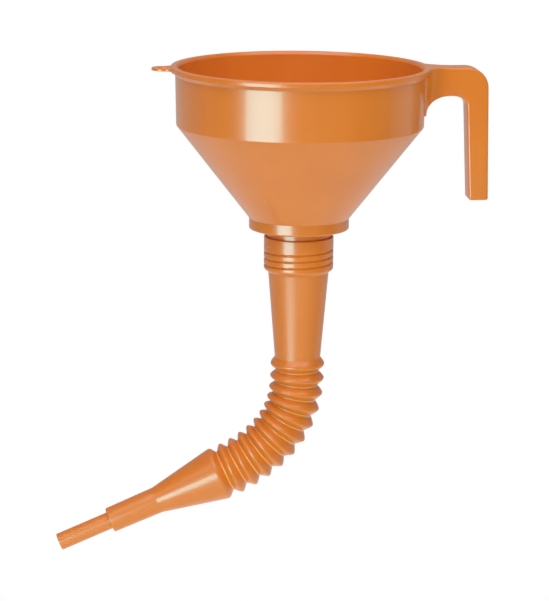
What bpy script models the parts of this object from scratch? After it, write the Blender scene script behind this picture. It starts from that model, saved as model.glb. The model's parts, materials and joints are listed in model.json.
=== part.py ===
"""Handled funnel with a lift-out strainer and a screw-on bellows spout, bent to the side.

Everything is modelled about the funnel's axis, with the top of the rim at z = 0, and hangs from one
empty that puts the middle of the hand grip at the world's origin. Metres, +Z up, +X to the handle.
"""
import math

import bmesh
import bpy

# ---- driving dimensions, metres -------------------------------------------------------------------
GAP = 0.0003                 # between neighbours that touch
WALL = 0.0018                # funnel moulding
SPOUT_WALL = 0.0010          # blow moulding

RIM_R = 0.0800               # lip, outside
LIP_H = 0.0032
LIP_ROUND = 0.0009
LIP_OVERHANG = 0.0030        # lip beyond the bowl's wall
BEAD_INSET = 0.0012          # sloping bead under the lip, back from the lip's edge
BEAD_H = 0.0024
BOWL_DRAFT = 0.0006          # how much narrower the bowl's wall is at its foot
BOWL_H = 0.0361
CONE_H = 0.0581
SEAT_R = 0.0311              # step collar, outside
SEAT_H = 0.0068

NECK_SHOULDER_R = 0.0202     # plain band between step collar and spout
NECK_SHOULDER_H = 0.0046
NECK_RELIEF = 0.0009         # how much narrower the neck is inside the spout's collar
NECK_WALL = 0.0021

STRAINER_CLEARANCE = 0.0005  # radial, ring to seat
STRAINER_H = 0.0042
STRAINER_RIM_W = 0.0022
STRAINER_FLANGE_W = 0.0050
STRAINER_FLANGE_T = 0.0014
GAUZE_T = 0.0005

GRIP_W = 0.0160              # front to back
GRIP_TOP_DEPTH = 0.0137      # bowl side to outer side, at the arch
GRIP_FOOT_DEPTH = 0.0120
GRIP_STANDOFF = 0.0304       # lip to the middle of the grip
GRIP_LEAN = 0.00105          # how far each end of the grip is off that middle
GRIP_FOOT_DEPTH_Z = 0.0834   # rim to the grip's foot
GRIP_MIDDLE_Z = 0.0500       # rim to the middle of the grip
ARM_DROP = 0.0005            # arm's top below the rim
ARM_CORNER_R = 0.0130
ARM_FLARE_TOP_R = 0.0185     # where the arm spreads into the rim, seen from above
ARM_FLARE_FOOT_R = 0.0090
ARM_FLARE_SPAN = 0.9         # share of a flare's radius that lies beyond the bowl's wall
ARM_H = 0.0176               # arm's top to the arch
ARCH_GRIP_RUN = 0.0088       # grip side of the arch, a quarter ellipse
ARCH_GRIP_RISE = 0.0065
ARCH_RISE = 0.0112           # bowl side of the arch, a quarter ellipse
ARCH_RUN = 0.0156
HANDLE_WALL = 0.0022
HANDLE_ROUND = 0.0015
HANDLE_ROOT_DEPTH = 0.0053   # how far it is modelled into the bowl before it is cut back

EYE_RING_R = 0.0072
EYE_HOLE_R = 0.0030
EYE_REACH = 0.0044           # lip to the middle of the hole
EYE_T = 0.0018
EYE_DROP = 0.0004
EYE_FILLET_R = 0.0050

COLLAR_WALL = 0.0012
COLLAR_ROUND = 0.0020
COLLAR_LIP_GAP = 0.0049      # step collar to the spout's mouth
COLLAR_H = 0.0205
SHOULDER_H = 0.0020
NECK_CLEARANCE = 0.0003      # radial, on the neck's band
TUBE_INSET = 0.0030          # collar's outside to the tube's outside
TUBE_FOOT_R = 0.0143
TUBE_H = 0.0549              # shoulder to the first fold

FOLD_PITCH = 0.0085
FOLD_CREST_R = 0.0170
FOLD_VALLEY_R = 0.0133
FOLD_CREST_LAND = 0.0008
FOLD_VALLEY_LAND = 0.0008
FOLD_WALL = 0.0013           # radial, at a crest
# degrees between one fold and the next, from the tube to the nozzle
FOLD_BENDS = (2.5, 4.5, 7.6, 9.5, 8.5, 8.2, 7.0, 6.3, 5.0, 4.2, 3.6)

NOZZLE_CONE_L = 0.0427
NOZZLE_STEP_TOP_R = 0.0084
NOZZLE_STEP_FOOT_R = 0.0080
NOZZLE_STEP_L = 0.0325
NOZZLE_TIP_R = 0.0054
NOZZLE_TIP_L = 0.0348

ROUND_SIDES = 48
NECK_SIDES = 40
FOLD_SIDES = 24
ARC_STEPS = 6

ORANGE = (0.72, 0.20, 0.032, 1.0)
BRASS = (0.60, 0.42, 0.16, 1.0)

# ---- sizes and heights above the rim that follow --------------------------------------------------
BEAD_R = RIM_R - BEAD_INSET
BOWL_TOP_R = RIM_R - LIP_OVERHANG
BOWL_FOOT_R = BOWL_TOP_R - BOWL_DRAFT
CONE_FOOT_DEPTH = BOWL_H + CONE_H
NECK_R = NECK_SHOULDER_R - NECK_RELIEF
NECK_BORE_R = NECK_R - NECK_WALL
GRIP_REACH = RIM_R + GRIP_STANDOFF
COLLAR_BORE_R = NECK_SHOULDER_R + NECK_CLEARANCE
COLLAR_R = COLLAR_BORE_R + COLLAR_WALL
TUBE_TOP_R = COLLAR_R - TUBE_INSET
SEAT_FLOOR_Z = -CONE_FOOT_DEPTH - SEAT_H
COLLAR_TOP_Z = SEAT_FLOOR_Z - COLLAR_LIP_GAP
COLLAR_FOOT_Z = COLLAR_TOP_Z - COLLAR_H
NECK_FOOT_Z = COLLAR_FOOT_Z + COLLAR_ROUND + SPOUT_WALL + GAP
TUBE_TOP_Z = COLLAR_FOOT_Z - SHOULDER_H
FOLD_TOP_Z = TUBE_TOP_Z - TUBE_H
FIRST_HINGE_Z = FOLD_TOP_Z - FOLD_PITCH
SEAT_BORE_R = SEAT_R - WALL
STRAINER_R = SEAT_BORE_R - STRAINER_CLEARANCE
STRAINER_FOOT_Z = SEAT_FLOOR_Z + WALL + GAP


def start_empty():
    for old in list(bpy.data.objects):
        bpy.data.objects.remove(old, do_unlink=True)


def new_collection(name):
    group = bpy.data.collections.new(name)
    bpy.context.scene.collection.children.link(group)
    return group


def plastic(name, colour, roughness, metallic=0.0):
    material = bpy.data.materials.new(name)
    material.use_nodes = True
    shader = material.node_tree.nodes["Principled BSDF"]
    shader.inputs["Base Color"].default_value = colour
    shader.inputs["Roughness"].default_value = roughness
    shader.inputs["Metallic"].default_value = metallic
    return material


def place(obj, group, material=None):
    for other in list(obj.users_collection):
        other.objects.unlink(obj)
    group.objects.link(obj)
    if material:
        obj.data.materials.clear()
        obj.data.materials.append(material)
    return obj


def as_cutter(obj):
    obj.hide_render = True
    obj.display_type = "WIRE"
    return obj


def arc(cx, cy, radius, start, end, steps=ARC_STEPS):
    """Points from one angle to another, in degrees, ends included."""
    points = []
    for i in range(steps + 1):
        a = math.radians(start + (end - start) * i / steps)
        points.append((cx + radius * math.cos(a), cy + radius * math.sin(a)))
    return points


def turned(name, profile, sides):
    """A ring solid: a closed outline at +X, down its outer side first, turned about Z."""
    mesh = bpy.data.meshes.new(name)
    verts = [(r, 0.0, z) for r, z in profile]
    edges = [(i, (i + 1) % len(verts)) for i in range(len(verts))]
    mesh.from_pydata(verts, edges, [])
    obj = bpy.data.objects.new(name, mesh)
    screw = obj.modifiers.new("turn", "SCREW")
    screw.axis = "Z"
    screw.angle = math.tau
    screw.steps = sides
    screw.render_steps = sides
    screw.use_merge_vertices = True
    screw.merge_threshold = 0.00001
    screw.use_smooth_shade = True
    return obj


def prism(name, outline, thickness):
    """A flat outline in XY, filled and given a thickness about z = 0."""
    curve = bpy.data.curves.new(name, "CURVE")
    curve.dimensions = "2D"
    curve.fill_mode = "BOTH"
    curve.extrude = thickness / 2
    spline = curve.splines.new("POLY")
    spline.points.add(len(outline) - 1)
    for point, (x, y) in zip(spline.points, outline):
        point.co = (x, y, 0.0, 1.0)
    spline.use_cyclic_u = True
    return bpy.data.objects.new(name, curve)


def as_mesh(obj, name):
    """The object's evaluated shape as a plain mesh object, its caps welded; the first object goes."""
    if obj.name not in bpy.context.scene.collection.all_objects:
        bpy.context.scene.collection.objects.link(obj)
    bpy.context.view_layer.update()
    depsgraph = bpy.context.evaluated_depsgraph_get()
    mesh = bpy.data.meshes.new_from_object(obj.evaluated_get(depsgraph))
    work = bmesh.new()
    work.from_mesh(mesh)
    bmesh.ops.remove_doubles(work, verts=work.verts, dist=0.000005)
    bmesh.ops.recalc_face_normals(work, faces=work.faces)
    work.to_mesh(mesh)
    work.free()
    made = bpy.data.objects.new(name, mesh)
    made.matrix_world = obj.matrix_world.copy()
    bpy.data.objects.remove(obj, do_unlink=True)
    made.name = name
    return made


def boolean(obj, other, operation):
    cut = obj.modifiers.new(operation.lower(), "BOOLEAN")
    cut.object = other
    cut.operation = operation
    cut.solver = "EXACT"


def smooth(obj, degrees=35):
    obj.data.shade_smooth()
    obj.data.set_sharp_from_angle(angle=math.radians(degrees))


# ---- the funnel moulding --------------------------------------------------------------------------
def wall_step(upper, lower):
    """How far a wall's inside edge drops where its slope changes, so its thickness stays even."""
    slope = math.atan2(upper[0] - lower[0], upper[1] - lower[1])
    return WALL * math.tan(slope / 2)


def bowl_outside(grow=0.0):
    """Lip, bead, cylinder and cone, top to bottom, moved out by grow."""
    lip = LIP_ROUND + grow
    points = arc(RIM_R + grow - lip, grow - lip, lip, 90, 0, 3)
    points += [
        (RIM_R + grow, -LIP_H - grow),
        (BEAD_R + grow, -LIP_H - grow),
        (BOWL_TOP_R + grow, -LIP_H - BEAD_H - grow),
        (BOWL_FOOT_R + grow, -BOWL_H),
        (SEAT_R + grow, -CONE_FOOT_DEPTH),
    ]
    return points


def bowl():
    foot, seat = (BOWL_FOOT_R, -BOWL_H), (SEAT_R, -CONE_FOOT_DEPTH)
    drop = wall_step(foot, seat)
    lip_bore = BOWL_TOP_R - WALL
    inside = [
        (SEAT_BORE_R, -CONE_FOOT_DEPTH),
        (SEAT_BORE_R, -CONE_FOOT_DEPTH + drop),
        (BOWL_FOOT_R - WALL, -BOWL_H + drop),
        (lip_bore, -LIP_H),
        (lip_bore + LIP_ROUND, 0.0),
    ]
    return turned("bowl", bowl_outside() + inside, ROUND_SIDES)


def outlet_neck():
    top = -CONE_FOOT_DEPTH - GAP
    outside = [
        (SEAT_R, top),
        (SEAT_R, SEAT_FLOOR_Z + LIP_ROUND),
        (SEAT_R - LIP_ROUND, SEAT_FLOOR_Z),
        (NECK_SHOULDER_R, SEAT_FLOOR_Z),
        (NECK_SHOULDER_R, SEAT_FLOOR_Z - NECK_SHOULDER_H),
        (NECK_R, SEAT_FLOOR_Z - NECK_SHOULDER_H - NECK_RELIEF),
        (NECK_R, NECK_FOOT_Z),
    ]
    inside = [
        (NECK_BORE_R, NECK_FOOT_Z),
        (NECK_BORE_R, SEAT_FLOOR_Z + WALL),
        (SEAT_BORE_R, SEAT_FLOOR_Z + WALL),
        (SEAT_BORE_R, top),
    ]
    return turned("outlet_neck", outside + inside, NECK_SIDES)


def grip_x(z, side):
    """The grip's bowl side (-1) or outer side (+1) at a height."""
    arch_z = -ARM_DROP - ARM_H
    t = (arch_z - z) / (arch_z + GRIP_FOOT_DEPTH_Z)
    middle = GRIP_REACH + GRIP_LEAN * (2 * t - 1)
    depth = GRIP_TOP_DEPTH + (GRIP_FOOT_DEPTH - GRIP_TOP_DEPTH) * t
    return middle + side * depth / 2


def handle_side(inset, root_x, foot_z):
    """The handle's outline seen from the front, in x and z; an inset makes the core's."""
    top = -ARM_DROP - inset
    arch = -ARM_DROP - ARM_H
    corner = ARM_CORNER_R - inset
    corner_z = -ARM_DROP - ARM_CORNER_R
    outer_x = grip_x(corner_z, 1)
    outline = [(root_x, top)]
    outline += arc(outer_x - ARM_CORNER_R, corner_z, corner, 90, 0)
    outline.append((grip_x(foot_z, 1) - inset, foot_z))
    if inset:
        outline.append((grip_x(foot_z, -1) + inset, foot_z))
        outline.append((grip_x(arch - ARCH_GRIP_RISE, -1) + inset, arch - ARCH_GRIP_RISE))
        outline.append((grip_x(arch, -1) + inset, arch))
        outline.append((root_x, arch))
        return outline
    outline.append((grip_x(foot_z, -1), foot_z))
    grip_z = arch - ARCH_GRIP_RISE
    start_x = grip_x(grip_z, -1) - ARCH_GRIP_RUN
    run_x = BOWL_TOP_R + ARCH_RUN
    quarter = [math.pi / 2 * i / ARC_STEPS for i in range(ARC_STEPS + 1)]
    for a in quarter:
        outline.append((start_x + ARCH_GRIP_RUN * math.cos(a), grip_z + ARCH_GRIP_RISE * math.sin(a)))
    for a in quarter:
        outline.append((run_x - ARCH_RUN * math.sin(a), arch - ARCH_RISE * (1 - math.cos(a))))
    outline.append((root_x, arch - ARCH_RISE))
    return outline


def handle_plan(flare, inset):
    """The handle seen from above: parallel sides that flare into the rim, one half mirrored."""
    half = GRIP_W / 2 - inset
    flare_y = GRIP_W / 2 + flare
    flare_x = BOWL_TOP_R + flare * ARM_FLARE_SPAN
    end_x = GRIP_REACH + 2 * GRIP_TOP_DEPTH
    side = [(end_x, half)]
    side += arc(flare_x, flare_y, flare + inset, 270, 190)
    side.append((BOWL_TOP_R / 2, flare_y))
    return side + [(x, -y) for x, y in reversed(side)]


def lofted(name, levels):
    """A solid through outlines that have the same number of points, each with its height."""
    work = bmesh.new()
    rings = [[work.verts.new((x, y, z)) for x, y in outline] for outline, z in levels]
    work.faces.new(rings[0])
    work.faces.new(rings[-1])
    for low, high in zip(rings, rings[1:]):
        for i in range(len(low)):
            j = (i + 1) % len(low)
            work.faces.new((low[i], low[j], high[j], high[i]))
    bmesh.ops.recalc_face_normals(work, faces=work.faces)
    bmesh.ops.triangulate(work, faces=work.faces)
    mesh = bpy.data.meshes.new(name)
    work.to_mesh(mesh)
    work.free()
    return bpy.data.objects.new(name, mesh)


def handle_block(name, inset, root_x, foot_z, cutters):
    """What the handle's side outline and its plan share; the flare in plan shrinks going down."""
    side = prism(name + "_side", handle_side(inset, root_x, foot_z), 4 * GRIP_W)
    side.rotation_euler.x = math.pi / 2
    block = as_mesh(side, name)
    web_foot = -ARM_DROP - ARM_H - ARCH_RISE
    above = 2 * LIP_H
    widening = (ARM_FLARE_TOP_R - ARM_FLARE_FOOT_R) / -web_foot
    narrow = handle_plan(ARM_FLARE_FOOT_R, inset)
    wide = handle_plan(ARM_FLARE_TOP_R + widening * above, inset)
    levels = [(narrow, -3 * GRIP_FOOT_DEPTH_Z), (narrow, web_foot), (wide, above)]
    cutter = place(as_cutter(lofted(name + "_plan", levels)), cutters)
    boolean(block, cutter, "INTERSECT")
    return block


def bowl_room(cutters):
    """The bowl's outer shape grown by the gap: what the handle and the eye are cut back to."""
    profile = bowl_outside(GAP)
    profile.append((0.0, -CONE_FOOT_DEPTH))
    profile.append((0.0, 2 * LIP_H))
    profile.append((RIM_R + GAP - 2 * LIP_ROUND, 2 * LIP_H))
    room = turned("bowl_room_turned", profile, 2 * ROUND_SIDES)
    return place(as_cutter(as_mesh(room, "bowl_room")), cutters)


def handle(room, cutters):
    root_x = BOWL_FOOT_R - HANDLE_ROOT_DEPTH
    body = handle_block("handle", 0.0, root_x, -GRIP_FOOT_DEPTH_Z, cutters)
    rounding = body.modifiers.new("round", "BEVEL")
    rounding.width = HANDLE_ROUND
    rounding.segments = 2
    rounding.limit_method = "ANGLE"
    rounding.angle_limit = math.radians(50)
    core = handle_block("handle_core", HANDLE_WALL, root_x - WALL, -2 * GRIP_FOOT_DEPTH_Z, cutters)
    core = place(as_cutter(as_mesh(core, "handle_core")), cutters)
    boolean(body, core, "DIFFERENCE")
    boolean(body, room, "DIFFERENCE")
    return body


def hanging_eye(room, cutters):
    """A flat lug on the rim opposite the handle: a ring that runs into the lip with two fillets."""
    ring_x = RIM_R + EYE_REACH
    a, b = RIM_R + EYE_FILLET_R, EYE_RING_R + EYE_FILLET_R
    fillet_x = (a * a - b * b + ring_x * ring_x) / (2 * ring_x)
    fillet_y = math.sqrt(a * a - fillet_x * fillet_x)
    to_rim = math.degrees(math.atan2(-fillet_y, -fillet_x))
    to_ring = math.degrees(math.atan2(-fillet_y, ring_x - fillet_x))
    on_ring = math.degrees(math.atan2(fillet_y, fillet_x - ring_x))
    side = arc(ring_x, 0.0, EYE_RING_R, 0, on_ring, 2 * ARC_STEPS)
    side += arc(fillet_x, fillet_y, EYE_FILLET_R, to_ring, to_rim, ARC_STEPS)[1:]
    side.append((BOWL_FOOT_R, fillet_y * RIM_R / a))
    outline = side + [(x, -y) for x, y in reversed(side[1:])]
    plate = prism("eye_plate", [(-x, y) for x, y in outline], EYE_T)
    plate.location.z = -EYE_DROP - EYE_T / 2
    eye = as_mesh(plate, "hanging_eye")
    bpy.ops.mesh.primitive_cylinder_add(
        vertices=24, radius=EYE_HOLE_R, depth=4 * EYE_T, location=(-ring_x, 0.0, -EYE_T)
    )
    drill = as_cutter(bpy.context.object)
    drill.name = "eye_drill"
    place(drill, cutters)
    boolean(eye, drill, "DIFFERENCE")
    boolean(eye, room, "DIFFERENCE")
    return eye


# ---- the strainer ---------------------------------------------------------------------------------
def strainer_ring():
    top = STRAINER_FOOT_Z + STRAINER_H
    flange_top = STRAINER_FOOT_Z + STRAINER_FLANGE_T
    profile = [
        (STRAINER_R, top),
        (STRAINER_R, STRAINER_FOOT_Z),
        (STRAINER_R - STRAINER_FLANGE_W, STRAINER_FOOT_Z),
        (STRAINER_R - STRAINER_FLANGE_W, flange_top),
        (STRAINER_R - STRAINER_RIM_W, flange_top),
        (STRAINER_R - STRAINER_RIM_W, top),
    ]
    return turned("strainer_ring", profile, NECK_SIDES)


def strainer_gauze():
    """The wire cloth as a plain disc; it lies on the ring's flange, inside its rim."""
    bpy.ops.mesh.primitive_cylinder_add(
        vertices=NECK_SIDES,
        radius=STRAINER_R - STRAINER_RIM_W - GAP,
        depth=GAUZE_T,
        location=(0.0, 0.0, STRAINER_FOOT_Z + STRAINER_FLANGE_T + GAP + GAUZE_T / 2),
    )
    disc = bpy.context.object
    disc.name = "strainer_gauze"
    return disc


# ---- the flexible spout ---------------------------------------------------------------------------
def spout_collar():
    corner = COLLAR_ROUND * (1 - math.sqrt(0.5))
    profile = [
        (COLLAR_R, COLLAR_TOP_Z),
        (COLLAR_R, COLLAR_FOOT_Z + COLLAR_ROUND),
        (COLLAR_R - corner, COLLAR_FOOT_Z + corner),
        (COLLAR_R - COLLAR_ROUND, COLLAR_FOOT_Z),
        (TUBE_TOP_R, TUBE_TOP_Z + GAP / 2),
        (TUBE_TOP_R - SPOUT_WALL, TUBE_TOP_Z + GAP / 2),
        (TUBE_TOP_R - SPOUT_WALL, COLLAR_FOOT_Z + SPOUT_WALL),
        (COLLAR_BORE_R, COLLAR_FOOT_Z + COLLAR_ROUND + SPOUT_WALL),
        (COLLAR_BORE_R, COLLAR_TOP_Z),
    ]
    return turned("spout_collar", profile, NECK_SIDES)


def fold_outside(top_r, top_z):
    """One fold's outer side below a valley or the tube: up to its crest and down to the next valley."""
    crest_z = top_z - FOLD_PITCH / 2
    foot_z = top_z - FOLD_PITCH
    return [
        (top_r, top_z - FOLD_VALLEY_LAND / 2),
        (FOLD_CREST_R, crest_z + FOLD_CREST_LAND / 2),
        (FOLD_CREST_R, crest_z - FOLD_CREST_LAND / 2),
        (FOLD_VALLEY_R, foot_z + FOLD_VALLEY_LAND / 2),
    ]


def fold_inside(top_r, top_z):
    """The same fold's inner side, bottom to top."""
    return [
        (FOLD_VALLEY_R - SPOUT_WALL, top_z - FOLD_PITCH + FOLD_VALLEY_LAND / 2),
        (FOLD_CREST_R - FOLD_WALL, top_z - FOLD_PITCH / 2),
        (top_r - SPOUT_WALL, top_z - FOLD_VALLEY_LAND / 2),
    ]


def spout_tube():
    """Tapered tube with the first fold at its foot; its last edge is on the first bending plane."""
    top, foot = TUBE_TOP_Z - GAP / 2, FIRST_HINGE_Z + GAP / 2
    profile = [(TUBE_TOP_R, top)]
    profile += fold_outside(TUBE_FOOT_R, FOLD_TOP_Z)
    profile += [(FOLD_VALLEY_R, foot), (FOLD_VALLEY_R - SPOUT_WALL, foot)]
    profile += fold_inside(TUBE_FOOT_R, FOLD_TOP_Z)
    profile += [(TUBE_TOP_R - SPOUT_WALL, top)]
    straight = turned("spout_tube_turned", profile, NECK_SIDES)
    return mitre(straight, "spout_tube", 0.0, FOLD_BENDS[0], FOLD_TOP_Z - FOLD_PITCH / 2)


def fold_ring(name):
    """A fold from valley to valley, its upper bending plane at z = 0."""
    top, foot = -GAP / 2, -FOLD_PITCH + GAP / 2
    profile = [(FOLD_VALLEY_R, top)]
    profile += fold_outside(FOLD_VALLEY_R, 0.0)
    profile += [(FOLD_VALLEY_R, foot), (FOLD_VALLEY_R - SPOUT_WALL, foot)]
    profile += fold_inside(FOLD_VALLEY_R, 0.0)
    profile += [(FOLD_VALLEY_R - SPOUT_WALL, top)]
    return turned(name, profile, FOLD_SIDES)


def nozzle():
    """The last fold's upper half, then cone, step and tip, from the last bending plane down."""
    crest = -FOLD_PITCH / 2
    cone = crest - NOZZLE_CONE_L
    step = cone - NOZZLE_STEP_L
    tip = step - NOZZLE_TIP_L
    wall = SPOUT_WALL
    profile = [
        (FOLD_VALLEY_R, -GAP / 2),
        (FOLD_VALLEY_R, -FOLD_VALLEY_LAND / 2),
        (FOLD_CREST_R, crest + FOLD_CREST_LAND / 2),
        (FOLD_CREST_R, crest - FOLD_CREST_LAND / 2),
        (NOZZLE_STEP_TOP_R, cone),
        (NOZZLE_STEP_FOOT_R, step),
        (NOZZLE_TIP_R, step),
        (NOZZLE_TIP_R, tip),
        (NOZZLE_TIP_R - wall, tip),
        (NOZZLE_TIP_R - wall, step + wall),
        (NOZZLE_STEP_FOOT_R - wall, step + wall),
        (NOZZLE_STEP_TOP_R - wall, cone),
        (FOLD_CREST_R - FOLD_WALL, crest),
        (FOLD_VALLEY_R - wall, -FOLD_VALLEY_LAND / 2),
        (FOLD_VALLEY_R - wall, -GAP / 2),
    ]
    return turned("nozzle", profile, NECK_SIDES)


def mitre(obj, name, top_bend, foot_bend, crest_z=-FOLD_PITCH / 2):
    """Shears a fold's two halves so that its ends lie on the planes halfway to its neighbours."""
    made = as_mesh(obj, name)
    for vert in made.data.vertices:
        from_crest = (vert.co.z - crest_z) / (FOLD_PITCH / 2)
        bend = top_bend * max(0.0, min(1.0, from_crest)) - foot_bend * max(0.0, min(1.0, -from_crest))
        vert.co.z += vert.co.x * math.tan(math.radians(bend) / 2)
    return made


def spout_chain(group, material):
    """Folds and nozzle, each on an empty at the middle of the valley where it bends."""
    parent, place_z = None, FIRST_HINGE_Z
    for i, bend in enumerate(FOLD_BENDS):
        number = i + 2
        hinge = bpy.data.objects.new(f"bend_{number:02d}", None)
        hinge.empty_display_size = FOLD_CREST_R
        place(hinge, group)
        hinge.parent = parent
        hinge.location = (0.0, 0.0, place_z)
        hinge.rotation_euler.y = math.radians(bend)
        if number <= len(FOLD_BENDS):
            name = f"fold_{number:02d}"
            piece = mitre(fold_ring(name + "_turned"), name, bend, FOLD_BENDS[i + 1])
        else:
            piece = mitre(nozzle(), "nozzle", bend, 0.0)
        place(piece, group, material)
        piece.parent = hinge
        smooth(piece)
        parent, place_z = hinge, -FOLD_PITCH


def main():
    start_empty()
    parts = new_collection("funnel")
    cutters = new_collection("cutters")
    room = bowl_room(cutters)
    moulded = plastic("orange_moulding", ORANGE, 0.32)
    blown = plastic("orange_blow_moulding", ORANGE, 0.36)
    strainer = plastic("strainer_frame", ORANGE, 0.38)
    brass = plastic("brass_wire", BRASS, 0.35, 1.0)
    for obj, material in (
        (bowl(), moulded),
        (outlet_neck(), moulded),
        (handle(room, cutters), moulded),
        (hanging_eye(room, cutters), moulded),
        (strainer_ring(), strainer),
        (strainer_gauze(), brass),
        (spout_collar(), blown),
        (spout_tube(), blown),
    ):
        place(obj, parts, material)
        smooth(obj)
    spout_chain(parts, blown)
    rig = bpy.data.objects.new("funnel_axis", None)
    for obj in list(parts.objects) + list(cutters.objects):
        if obj.parent is None:
            obj.parent = rig
    parts.objects.link(rig)
    rig.location = (-GRIP_REACH, 0.0, GRIP_MIDDLE_Z)


main()
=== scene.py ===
import json
import math

import bmesh
import bpy
from mathutils import Matrix, Vector


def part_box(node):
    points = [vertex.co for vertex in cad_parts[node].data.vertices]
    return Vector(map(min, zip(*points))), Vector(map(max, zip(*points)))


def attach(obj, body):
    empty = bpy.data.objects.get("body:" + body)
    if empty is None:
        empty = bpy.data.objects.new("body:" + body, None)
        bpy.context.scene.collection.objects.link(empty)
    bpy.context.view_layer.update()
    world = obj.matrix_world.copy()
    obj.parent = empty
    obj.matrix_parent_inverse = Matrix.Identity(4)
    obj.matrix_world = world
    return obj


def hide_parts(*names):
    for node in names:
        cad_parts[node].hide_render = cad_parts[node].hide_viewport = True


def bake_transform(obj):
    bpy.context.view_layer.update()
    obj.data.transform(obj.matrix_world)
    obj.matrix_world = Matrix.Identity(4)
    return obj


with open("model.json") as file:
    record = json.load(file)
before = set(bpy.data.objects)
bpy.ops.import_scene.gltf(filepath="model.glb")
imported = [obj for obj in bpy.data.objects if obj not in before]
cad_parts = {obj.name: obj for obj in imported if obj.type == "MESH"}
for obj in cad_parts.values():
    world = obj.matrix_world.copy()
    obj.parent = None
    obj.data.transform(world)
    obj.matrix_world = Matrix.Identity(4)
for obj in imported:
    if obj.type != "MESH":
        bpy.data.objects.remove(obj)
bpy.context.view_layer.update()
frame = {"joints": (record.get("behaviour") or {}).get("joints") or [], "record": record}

scene = bpy.context.scene
mm = 0.001


# where things are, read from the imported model
bowlLow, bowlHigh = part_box("bowl")
axisTop = Vector(((bowlLow.x + bowlHigh.x) / 2, 0.0, bowlHigh.z))  # funnel axis at the rim's top
bends = [j for j in frame["joints"] if j["name"].startswith("bend_")]
hinges = [Vector(j["pos_m"]) for j in bends]
mounts = {m["name"]: m for m in frame["record"]["mounts"]}
spoutWays = [(b - a).normalized() for a, b in zip(hinges, hinges[1:])]  # axis below each hinge
spoutWays.append(Vector(mounts["nozzle_end"]["axis"]).normalized())
down = Vector((0.0, 0.0, -1.0))
foldPitch = (hinges[1] - hinges[0]).length


def axisFrame(place, way):  # local -Z runs along way, local Y stays the world's
    z = -way.normalized()
    y = Vector((0.0, 1.0, 0.0))
    x = y.cross(z).normalized()
    turn = Matrix((x, y, z)).transposed()
    return Matrix.Translation(place) @ turn.to_4x4()


onAxis = Matrix.Translation(axisTop)


# mesh helpers
def linked(obj):
    scene.collection.objects.link(obj)
    return obj


def meshObject(work, name, place=None):
    # the finished bmesh as an object, its faces outwards
    bmesh.ops.recalc_face_normals(work, faces=work.faces)
    mesh = bpy.data.meshes.new(name)
    work.to_mesh(mesh)
    work.free()
    if place:
        mesh.transform(place)
    return linked(bpy.data.objects.new(name, mesh))


def roundedOutline(corners):
    # corners are (radius, height, fillet) in mm, closed; fillets become arcs
    points = []
    count = len(corners)
    for i, (r, z, fillet) in enumerate(corners):
        here = Vector((r, z))
        before = Vector(corners[i - 1][:2]) - here
        after = Vector(corners[(i + 1) % count][:2]) - here
        if fillet <= 0:
            points.append(here)
            continue
        angle = before.angle(after)
        reach = fillet / math.tan(angle / 2)
        reach = min(reach, before.length * 0.49, after.length * 0.49)
        radius = reach * math.tan(angle / 2)
        start, end = before.normalized() * reach, after.normalized() * reach
        middle = (before.normalized() + after.normalized()).normalized() * (radius / math.sin(angle / 2))
        a, b = start - middle, end - middle
        sweep = a.angle_signed(b)
        steps = max(2, round(abs(math.degrees(sweep)) / 12))
        for step in range(steps + 1):
            t = -sweep * step / steps
            c, s = math.cos(t), math.sin(t)
            points.append(here + middle + Vector((a.x * c - a.y * s, a.x * s + a.y * c)))
    return points


def filledIn(points, low, high, spacing):
    # extra points on long edges whose heights lie between low and high
    out = []
    for i, p in enumerate(points):
        q = points[(i + 1) % len(points)]
        out.append(p)
        if low <= min(p.y, q.y) and max(p.y, q.y) <= high:
            steps = math.ceil(abs(q.y - p.y) / spacing)
            out += [p.lerp(q, k / steps) for k in range(1, steps)]
    return out


def turnedPiece(name, points, sides, place=onAxis):
    # a closed outline in mm turned about local Z
    work = bmesh.new()
    rings = []
    for i in range(sides):
        c, s = math.cos(math.tau * i / sides), math.sin(math.tau * i / sides)
        rings.append([work.verts.new((p.x * c * mm, p.x * s * mm, p.y * mm)) for p in points])
    count = len(points)
    for i in range(sides):
        a, b = rings[i], rings[(i + 1) % sides]
        for j in range(count):
            k = (j + 1) % count
            work.faces.new((a[j], b[j], b[k], a[k]))
    return meshObject(work, name, place)


def layered(name, levels):
    # a solid through outlines of equal length; levels are (outline, placing function)
    work = bmesh.new()
    rings = [[work.verts.new(put(x, y)) for x, y in outline] for outline, put in levels]
    for low, high in zip(rings, rings[1:]):
        for i in range(len(low)):
            j = (i + 1) % len(low)
            work.faces.new((low[i], low[j], high[j], high[i]))
    work.faces.new(rings[0])
    work.faces.new(rings[-1])
    return meshObject(work, name)


def evaluated(obj):
    # the modifiers' result becomes the object's plain mesh
    bpy.context.view_layer.update()
    mesh = bpy.data.meshes.new_from_object(obj.evaluated_get(bpy.context.evaluated_depsgraph_get()))
    mesh.name = obj.name
    obj.modifiers.clear()
    obj.data = mesh
    return obj


def combined(obj, other, operation):
    cut = obj.modifiers.new(operation, "BOOLEAN")
    cut.operation = operation
    cut.object = other
    cut.solver = "EXACT"
    evaluated(obj)
    bpy.data.objects.remove(other)
    return obj


def beveled(obj, width, segments, angle=50):
    edge = obj.modifiers.new("edges", "BEVEL")
    edge.width = width
    edge.segments = segments
    edge.limit_method = "ANGLE"
    edge.angle_limit = math.radians(angle)
    return evaluated(obj)


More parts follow.
